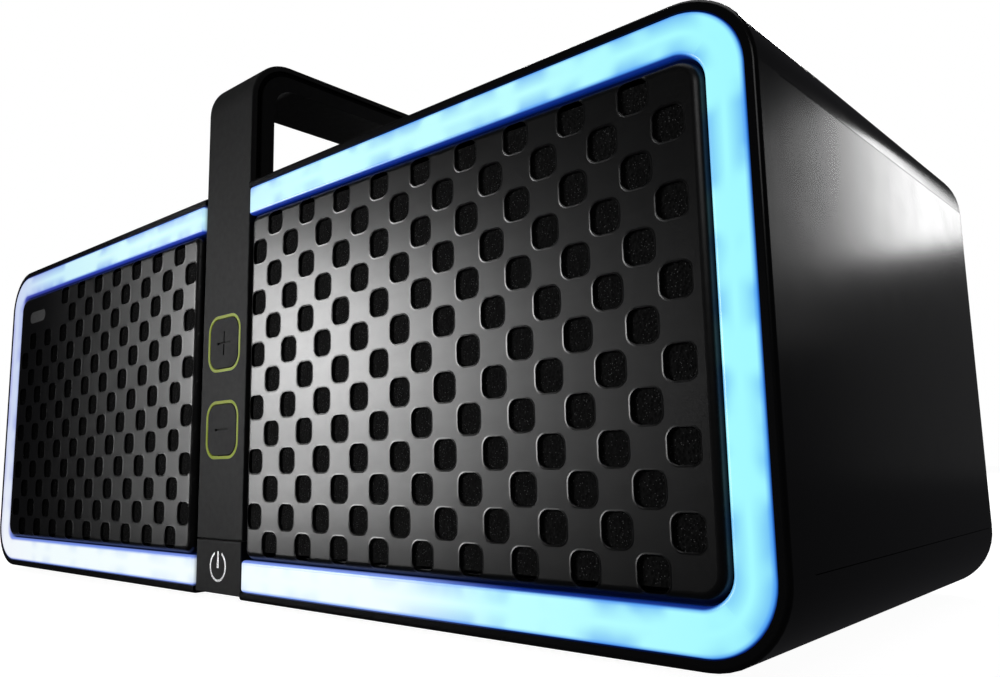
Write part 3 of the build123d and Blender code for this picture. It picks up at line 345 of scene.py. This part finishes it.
def makeFoam(look):
    material, tree, coord, output = newMaterial("open_cell_foam")
    cells = addNode(tree, "ShaderNodeTexVoronoi",
                    {"Scale": perMetre(look["cell"]), "Randomness": 1.0},
                    {"Vector": coord})
    fuzz = addNode(tree, "ShaderNodeTexNoise", {"Scale": perMetre(look["fuzz"]),
                   "Detail": look["fuzzDetail"]}, {"Vector": coord})
    share = addNode(tree, "ShaderNodeMath", {"operation": "MULTIPLY"},
                    {0: cells.outputs["Distance"], 1: fuzz.outputs["Fac"]})
    # painted shade: the pits of the cells go darker than the struts
    tone = addNode(tree, "ShaderNodeValToRGB", {"ramp": [
        (look["pitShadeAt"], linear(look["pitShade"])), (look["strutAt"], linear(look["strut"]))]},
        {0: share.outputs[0]})
    grit = addNode(tree, "ShaderNodeTexVoronoi", {"Scale": perMetre(look["grit"])},
                   {"Vector": coord})
    speck = addNode(tree, "ShaderNodeMapRange", {"From Min": look["speckFrom"],
                    "From Max": look["speckTo"]}, {"Value": grit.outputs["Distance"]})
    speckled = addNode(tree, "ShaderNodeMix", {"data_type": "RGBA", 7: linear(look["speck"])},
                       {0: speck.outputs[0], 6: tone.outputs[0]})
    bump = addNode(tree, "ShaderNodeBump", {"Strength": 1.0, "Distance": look["depth"] / 1000},
                   {"Height": share.outputs[0]})
    shader = addNode(tree, "ShaderNodeBsdfPrincipled", {"Roughness": look["roughness"],
                     "Specular IOR Level": look["specular"]},
                     {"Base Color": speckled.outputs[2], "Normal": bump.outputs[0]})
    tree.links.new(shader.outputs[0], output.inputs[0])
    return material


openFoam = makeFoam(foamLook)

# Satin acrylic lit from behind: white-cyan core, saturated blue rim, soft spots over each LED.
ringLook = {
    # metres: half the band, its centre line's corner radius, the LEDs' pitch
    "bandHalf": 0.0041, "centreRadius": 0.0098, "ledPitch": 0.012,
    # colours along X, from the left end to the right one
    "coreRun": [(0.0, "CCD4F2"), (0.12, "CBEFFB"), (0.35, "D6FDFA"), (0.53, "C2EEFD"),
                (0.62, "C9FCFA"), (0.85, "BCFDFD"), (1.0, "A0F8FE")],
    "rimRun": [(0.0, "8A8EDC"), (0.2, "5C8CE8"), (0.5, "5F84EC"), (0.6, "3C86F0"), (1.0, "2F86F0")],
    "edgeRun": [(0.0, "4048A8"), (0.3, "2A3FB0"), (0.6, "0B2A90"), (1.0, "05267A")],
    "lowEdge": "86A0F4", "hotCentre": "FCFEFE", "base": "20303A",
    # shares of half the band where the rim and then the edge colour come in
    "rimFrom": 0.74, "rimTo": 1.03, "edgeFrom": 0.9, "edgeTo": 1.01,
    "wall": "020824", "wallFrom": 0.0004, "wallTo": 0.002,
    "spotLift": 0.035, "cloud": 16.0, "cloudDetail": 2.0, "dimFrom": 0.40, "dimTo": 0.62,
    "offFrom": 0.05, "offTo": 0.85, "patchDepth": 0.6, "patchLow": 0.08, "lowShare": 0.75,
    "lowRun": -0.05, "hotEnd": 0.115, "hotStart": 0.07, "strength": 1.0,
    "roughness": 0.3, "ior": 1.49, "satin": 0.4, "satinDetail": 2.0, "satinHeight": 0.000004}


def makeRing(look):
    material, tree, coord, output = newMaterial("lit_satin_acrylic")
    # distance from the band's centre line, as a share of half the band
    halfX = guideHigh.x - look["bandHalf"] - look["centreRadius"]
    halfZ = (guideHigh.z - guideLow.z) / 2 - look["bandHalf"] - look["centreRadius"]
    split = addNode(tree, "ShaderNodeSeparateXYZ", {}, {0: coord})
    rowZ = addNode(tree, "ShaderNodeMath", {"operation": "SUBTRACT", 1: midZ},
                   {0: split.outputs[2]})
    place = addNode(tree, "ShaderNodeCombineXYZ", {}, {0: split.outputs[0], 1: rowZ.outputs[0]})
    folded = addNode(tree, "ShaderNodeVectorMath", {"operation": "ABSOLUTE"}, {0: place.outputs[0]})
    shifted = addNode(tree, "ShaderNodeVectorMath", {"operation": "SUBTRACT", 1: (halfX, halfZ, 0)},
                      {0: folded.outputs[0]})
    outside = addNode(tree, "ShaderNodeVectorMath", {"operation": "MAXIMUM", 1: (0, 0, 0)},
                      {0: shifted.outputs[0]})
    reach = addNode(tree, "ShaderNodeVectorMath", {"operation": "LENGTH"}, {0: outside.outputs[0]})
    parts = addNode(tree, "ShaderNodeSeparateXYZ", {}, {0: shifted.outputs[0]})
    deeper = addNode(tree, "ShaderNodeMath", {"operation": "MAXIMUM"},
                     {0: parts.outputs[0], 1: parts.outputs[1]})
    inner = addNode(tree, "ShaderNodeMath", {"operation": "MINIMUM", 1: 0.0},
                    {0: deeper.outputs[0]})
    signed = addNode(tree, "ShaderNodeMath", {"operation": "ADD"},
                     {0: reach.outputs["Value"], 1: inner.outputs[0]})
    centred = addNode(tree, "ShaderNodeMath", {"operation": "SUBTRACT", 1: look["centreRadius"]},
                      {0: signed.outputs[0]})
    distance = addNode(tree, "ShaderNodeMath", {"operation": "ABSOLUTE"}, {0: centred.outputs[0]})
    share = addNode(tree, "ShaderNodeMath", {"operation": "DIVIDE", 1: look["bandHalf"]},
                    {0: distance.outputs[0]})
    # soft spots over the LEDs, along X on the long runs and along Z on the short ones
    onSide = addNode(tree, "ShaderNodeMath", {"operation": "GREATER_THAN"},
                     {0: parts.outputs[0], 1: parts.outputs[1]})
    run = addNode(tree, "ShaderNodeMix", {"data_type": "FLOAT"},
                  {0: onSide.outputs[0], 2: split.outputs[0], 3: rowZ.outputs[0]})
    phase = addNode(tree, "ShaderNodeMath",
                    {"operation": "MULTIPLY", 1: 2 * math.pi / look["ledPitch"]},
                    {0: run.outputs[0]})
    wave = addNode(tree, "ShaderNodeMath", {"operation": "COSINE"}, {0: phase.outputs[0]})
    cloud = addNode(tree, "ShaderNodeTexNoise", {"Scale": perMetre(look["cloud"]),
                    "Detail": look["cloudDetail"]}, {"Vector": coord})
    spot = addNode(tree, "ShaderNodeMath", {"operation": "MULTIPLY_ADD", 1: look["spotLift"]},
                   {0: wave.outputs[0], 2: cloud.outputs["Fac"]})
    dim = addNode(tree, "ShaderNodeMapRange", {"interpolation_type": "SMOOTHSTEP",
                  "From Min": look["dimFrom"], "From Max": look["dimTo"]},
                  {"Value": spot.outputs[0]})
    offCentre = addNode(tree, "ShaderNodeMapRange", {"From Min": look["offFrom"],
                        "From Max": look["offTo"]}, {"Value": share.outputs[0]})
    patch = addNode(tree, "ShaderNodeMath", {"operation": "MULTIPLY"},
                    {0: dim.outputs[0], 1: offCentre.outputs[0]})
    # colour drifts along X: lavender at the left end, then near white, then cyan
    along = addNode(tree, "ShaderNodeMapRange", {"From Min": -guideHigh.x, "From Max": guideHigh.x},
                    {"Value": split.outputs[0]})
    core, rim, edge = (addNode(tree, "ShaderNodeValToRGB", {"ramp": [
        (position, linear(code)) for position, code in look[run]]}, {0: along.outputs[0]})
        for run in ("coreRun", "rimRun", "edgeRun"))
    # the lower run burns nearly white, except towards the right end
    low = addNode(tree, "ShaderNodeMapRange", {"From Min": 0.0, "From Max": look["lowRun"],
                  "To Max": look["lowShare"]}, {"Value": rowZ.outputs[0]})
    hot = addNode(tree, "ShaderNodeMapRange",
                  {"interpolation_type": "SMOOTHSTEP", "From Min": look["hotEnd"],
                  "From Max": look["hotStart"]}, {"Value": split.outputs[0]})
    whiter = addNode(tree, "ShaderNodeMath", {"operation": "MULTIPLY"},
                     {0: low.outputs[0], 1: hot.outputs[0]})
    keep = addNode(tree, "ShaderNodeMapRange", {"To Min": look["patchDepth"],
                   "To Max": look["patchLow"]}, {"Value": whiter.outputs[0]})
    patchShare = addNode(tree, "ShaderNodeMath", {"operation": "MULTIPLY"},
                         {0: patch.outputs[0], 1: keep.outputs[0]})
    centre = addNode(tree, "ShaderNodeMix", {"data_type": "RGBA", 7: linear(look["hotCentre"])},
                     {0: whiter.outputs[0], 6: core.outputs[0]})
    towardRim = addNode(tree, "ShaderNodeMapRange", {"interpolation_type": "SMOOTHSTEP",
                        "From Min": look["rimFrom"], "From Max": look["rimTo"]},
                        {"Value": share.outputs[0]})
    clouded = addNode(tree, "ShaderNodeMix", {"data_type": "RGBA"},
                      {0: patchShare.outputs[0], 6: centre.outputs[2], 7: rim.outputs[0]})
    blended = addNode(tree, "ShaderNodeMix", {"data_type": "RGBA"},
                      {0: towardRim.outputs[0], 6: clouded.outputs[2], 7: rim.outputs[0]})
    towardEdge = addNode(tree, "ShaderNodeMapRange", {"interpolation_type": "SMOOTHSTEP",
                         "From Min": look["edgeFrom"], "From Max": look["edgeTo"]},
                         {"Value": share.outputs[0]})
    litEdge = addNode(tree, "ShaderNodeMix", {"data_type": "RGBA", 7: linear(look["lowEdge"])},
                      {0: whiter.outputs[0], 6: edge.outputs[0]})
    glow = addNode(tree, "ShaderNodeMix", {"data_type": "RGBA"},
                   {0: towardEdge.outputs[0], 6: blended.outputs[2], 7: litEdge.outputs[2]})
    # the walls of the run fade into the gap behind the front face
    sunk = addNode(tree, "ShaderNodeMapRange", {"From Min": guideLow.y + look["wallFrom"],
                   "From Max": guideLow.y + look["wallTo"]}, {"Value": split.outputs[1]})
    faded = addNode(tree, "ShaderNodeMix", {"data_type": "RGBA", 7: linear(look["wall"])},
                    {0: sunk.outputs[0], 6: glow.outputs[2]})
    fine = addNode(tree, "ShaderNodeTexNoise", {"Scale": perMetre(look["satin"]),
                   "Detail": look["satinDetail"]}, {"Vector": coord})
    bump = addNode(tree, "ShaderNodeBump", {"Strength": 1.0, "Distance": look["satinHeight"]},
                   {"Height": fine.outputs["Fac"]})
    shader = addNode(tree, "ShaderNodeBsdfPrincipled", {
        "Base Color": linear(look["base"]), "Roughness": look["roughness"], "IOR": look["ior"],
        "Emission Strength": look["strength"]},
        {"Emission Color": faded.outputs[2], "Normal": bump.outputs[0]})
    tree.links.new(shader.outputs[0], output.inputs[0])
    return material


litAcrylic = makeRing(ringLook)

# Green mask with lighter copper runs showing through; parts standing above the board are dark.
boardLook = {
    "mask": "0E3B22", "maskTo": 0.44, "run": "1C5A36", "runFrom": 0.5, "part": "1A1A1C",
    "pitch": 2.2, "weave": 0.6, "weaveDetail": 3.0,  # millimetres
    "thick": 0.0018, "runHeight": 0.00003,  # metres
    "glossLow": 0.28, "glossHigh": 0.5, "ior": 1.5}


def makeBoard(look):
    material, tree, coord, output = newMaterial("solder_masked_glass_fibre")
    runs = addNode(tree, "ShaderNodeTexVoronoi",
                   {"distance": "MANHATTAN", "Scale": perMetre(look["pitch"])},
                   {"Vector": coord})
    track = addNode(tree, "ShaderNodeValToRGB", {"ramp": [
        (look["maskTo"], linear(look["mask"])), (look["runFrom"], linear(look["run"]))]},
        {0: runs.outputs["Distance"]})
    split = addNode(tree, "ShaderNodeSeparateXYZ", {}, {0: coord})
    above = addNode(tree, "ShaderNodeMath",
                    {"operation": "GREATER_THAN", 1: boardLow.z + look["thick"]},
                    {0: split.outputs[2]})
    behind = addNode(tree, "ShaderNodeMath", {"operation": "GREATER_THAN", 1: 0.0},
                     {0: split.outputs[1]})
    standing = addNode(tree, "ShaderNodeMath", {"operation": "MULTIPLY"},
                       {0: above.outputs[0], 1: behind.outputs[0]})
    colour = addNode(tree, "ShaderNodeMix", {"data_type": "RGBA", 7: linear(look["part"])},
                     {0: standing.outputs[0], 6: track.outputs[0]})
    weave = addNode(tree, "ShaderNodeTexNoise", {"Scale": perMetre(look["weave"]),
                    "Detail": look["weaveDetail"]}, {"Vector": coord})
    gloss = addNode(tree, "ShaderNodeMapRange", {"To Min": look["glossLow"],
                    "To Max": look["glossHigh"]}, {"Value": weave.outputs["Fac"]})
    bump = addNode(tree, "ShaderNodeBump", {"Strength": 1.0, "Distance": look["runHeight"]},
                   {"Height": track.outputs[0]})
    shader = addNode(tree, "ShaderNodeBsdfPrincipled", {"IOR": look["ior"]},
                     {"Base Color": colour.outputs[2], "Roughness": gloss.outputs[0],
                      "Normal": bump.outputs[0]})
    tree.links.new(shader.outputs[0], output.inputs[0])
    return material


maskedBoard = makeBoard(boardLook)

wearing = {
    glossAbs: ["top_cover", "bottom_cover", "end_panel_left", "end_panel_right", "front_bezel"],
    innerAbs: ["front_baffle", "rear_panel"],
    litAcrylic: ["light_guide_left", "light_guide_right"],
    maskedBoard: ["led_strip_left", "led_strip_right", "control_board", "main_board"],
    ledResin: ["led_chips_left", "led_chips_right"],
    grilleSteel: ["grille_left", "grille_right"],
    openFoam: ["foam_left", "foam_right"],
    badgeMetal: ["badge_plate"],
    powderSteel: ["basket_left", "basket_right"],
    zincSteel: ["motor_left", "motor_right"],
    conePulp: ["cone_left", "cone_right", "dust_cap_left", "dust_cap_right"],
    woundCopper: ["voice_coil_left", "voice_coil_right"],
    surroundRubber: ["surround_left", "surround_right"],
    spiderCloth: ["spider_left", "spider_right"],
    footRubber: ["driver_gaskets", "rubber_feet"],
    blackOxide: ["driver_screws", "handle_screws", "board_screws", "bracket_screws", "front_screws",
                 "rear_screws"],
    bandAbs: ["handle_shell"],
    linerAbs: ["handle_liner"],
    blackAnodised: ["handle_frame"],
    limeInlay: ["outline_rings"],
    keyAbs: ["plus_button", "minus_button", "power_button"],
    brightInlay: ["power_symbol"],
    jackNylon: ["plus_plunger", "minus_plunger", "power_plunger", "dc_jack", "aux_jack"],
    nickelPlate: ["tact_switches", "usb_port"],
    batterySleeve: ["battery_pack"],
    millAluminium: ["battery_bracket"]}
for material, names in wearing.items():
    for name in names:
        mesh = nodes[name].data
        mesh.materials.clear()
        mesh.materials.append(material)
missing = sorted(set(nodes) - {name for names in wearing.values() for name in names})
print("nodes without a material:", missing)

bevelLook = {"segments": 2, "angle": 50}
bevelWidths = {  # millimetres; a knife edge never catches light the way a moulded one does
    "top_cover": 0.25, "bottom_cover": 0.25, "end_panel_left": 0.25, "end_panel_right": 0.25,
    "handle_liner": 0.45, "handle_frame": 0.2, "rear_panel": 0.3}
for name, width in bevelWidths.items():
    bevel = nodes[name].modifiers.new("edges", "BEVEL")
    bevel.width = width / 1000
    bevel.segments = bevelLook["segments"]
    bevel.limit_method = "ANGLE"
    bevel.angle_limit = math.radians(bevelLook["angle"])
    bevel.harden_normals = True
print("surfaces done")

floorLook = {"reach": 4.0, "grain": 40.0, "toneLow": 0.30, "toneHigh": 0.31, "roughness": 0.9,
             "glow": 0.97}
floorMesh = bpy.data.meshes.new("floor")
floorReach = floorLook["reach"]
floorMesh.from_pydata([(-floorReach, -floorReach, 0), (floorReach, -floorReach, 0),
                       (floorReach, floorReach, 0), (-floorReach, floorReach, 0)], [],
                       [(0, 1, 2, 3)])
floor = bpy.data.objects.new("floor", floorMesh)
bpy.context.scene.collection.objects.link(floor)
floorMaterial, floorTree, floorCoord, floorOutput = newMaterial("pale_floor")
floorGrain = addNode(floorTree, "ShaderNodeTexNoise", {"Scale": perMetre(floorLook["grain"])},
                     {"Vector": floorCoord})
floorTone = addNode(floorTree, "ShaderNodeMapRange", {"To Min": floorLook["toneLow"],
                    "To Max": floorLook["toneHigh"]}, {"Value": floorGrain.outputs["Fac"]})
floorShader = addNode(floorTree, "ShaderNodeBsdfPrincipled", {"Roughness": floorLook["roughness"],
                      "Emission Color": (1, 1, 1, 1), "Emission Strength": floorLook["glow"]},
                      {"Base Color": floorTone.outputs[0]})
floorTree.links.new(floorShader.outputs[0], floorOutput.inputs[0])
floorMesh.materials.append(floorMaterial)
floor.visible_glossy = False  # a pale floor under gloss black would wash the whole body grey
floor.visible_diffuse = False

# The studio is paper white where it is seen, and dim where it only lights or reflects.
world = bpy.data.worlds.new("studio")
bpy.context.scene.world = world
world.use_nodes = True
worldTree = world.node_tree
worldTree.nodes.clear()
seen = addNode(worldTree, "ShaderNodeLightPath")
paper = addNode(worldTree, "ShaderNodeBackground", {"Color": (1, 1, 1, 1), "Strength": 1.0})
room = addNode(worldTree, "ShaderNodeBackground", {"Color": linear("2A2A2C"), "Strength": 1.0})
chosen = addNode(worldTree, "ShaderNodeMixShader", {},
                 {0: seen.outputs["Is Camera Ray"], 1: room.outputs[0], 2: paper.outputs[0]})
worldOutput = addNode(worldTree, "ShaderNodeOutputWorld", {}, {0: chosen.outputs[0]})


def addLight(name, settings):
    light = bpy.data.lights.new(name, "AREA")
    light.shape = "RECTANGLE"
    light.size = settings["width"]
    light.size_y = settings["height"]
    light.energy = settings["watts"]
    light.spread = math.radians(settings.get("spread", 180.0))
    lamp = bpy.data.objects.new(name, light)
    bpy.context.scene.collection.objects.link(lamp)
    lamp.location = settings["place"]
    aim = Vector(settings["aim"]) - Vector(settings["place"])
    lamp.rotation_euler = aim.to_track_quat("-Z", "Y").to_euler()
    lamp.visible_camera = False


addLight("grille_box", {  # far front left: its blurred reflection fills the grilles beside the band
    "place": (-0.268, -0.31, 0.128), "aim": (0.15, -0.067, 0.068), "width": 0.12, "height": 0.12,
    "watts": 0.072, "spread": 48.0})
addLight("low_box", {  # same side, just above the floor: lights the lowest rows of the grilles
    "place": (-0.268, -0.31, 0.030), "aim": (0.15, -0.067, 0.03), "width": 0.13, "height": 0.052,
    "watts": 0.02, "spread": 48.0})
addLight("back_box", {  # behind left: shows the rear panel, its screws and the handle's rear leg
    "place": (-0.7, 1.4, 0.9), "aim": (0.0, 0.06, 0.06), "width": 0.8, "height": 0.6,
    "watts": 24.0})
addLight("side_box", {  # behind right: the soft patch on the upper rear of the end panel
    "place": (0.472, 1.21, 0.492), "aim": (0.17, 0.01, 0.093), "width": 0.14, "height": 0.26,
    "watts": 0.74})
addLight("rear_fill", {  # low behind the right end, weak: lifts the lower end panel
    "place": (0.40, 1.30, 0.18), "aim": (0.17, 0.05, 0.05), "width": 0.5, "height": 0.35,
    "watts": 0.018})
addLight("side_strip", {  # thin strip: the faint upright line near the front of the end panel
    "place": (0.661, 1.107, 0.362), "aim": (0.17, -0.06, 0.07), "width": 0.014, "height": 0.28,
    "watts": 0.014})
addLight("top_fill", {  # overhead: keeps the handle and top edge readable
    "place": (0.1, -0.2, 1.3), "aim": (0.0, 0.0, 0.1), "width": 1.0, "height": 0.8, "watts": 2.0})
addLight("front_fill", {  # in front, to the right: faint light on the band and keys
    "place": (0.55, -1.0, 0.55), "aim": (0.05, 0.0, 0.06), "width": 0.5, "height": 0.3,
    "watts": 0.6})

cameraLook = {  # low and close to the right end, so the front runs away steeply to the left
    "place": (0.2287, -0.2013, 0.0368), "turn": 41.45, "lift": 8.507, "tilt": -1.158, "lens": 30.98,
    "sensor": 36.0, "clip": 0.01}
cameraData = bpy.data.cameras.new("camera")
cameraData.sensor_width = cameraLook["sensor"]
cameraData.lens = cameraLook["lens"]
cameraData.clip_start = cameraLook["clip"]
camera = bpy.data.objects.new("camera", cameraData)
bpy.context.scene.collection.objects.link(camera)
heading = Matrix.Rotation(math.radians(cameraLook["turn"]), 4, "Z")
raised = Matrix.Rotation(math.radians(90 + cameraLook["lift"]), 4, "X")
rolled = Matrix.Rotation(math.radians(cameraLook["tilt"]), 4, "Z")
camera.matrix_world = Matrix.Translation(cameraLook["place"]) @ heading @ raised @ rolled
bpy.context.scene.camera = camera
bpy.context.scene.view_settings.view_transform = "Standard"
print("studio done")
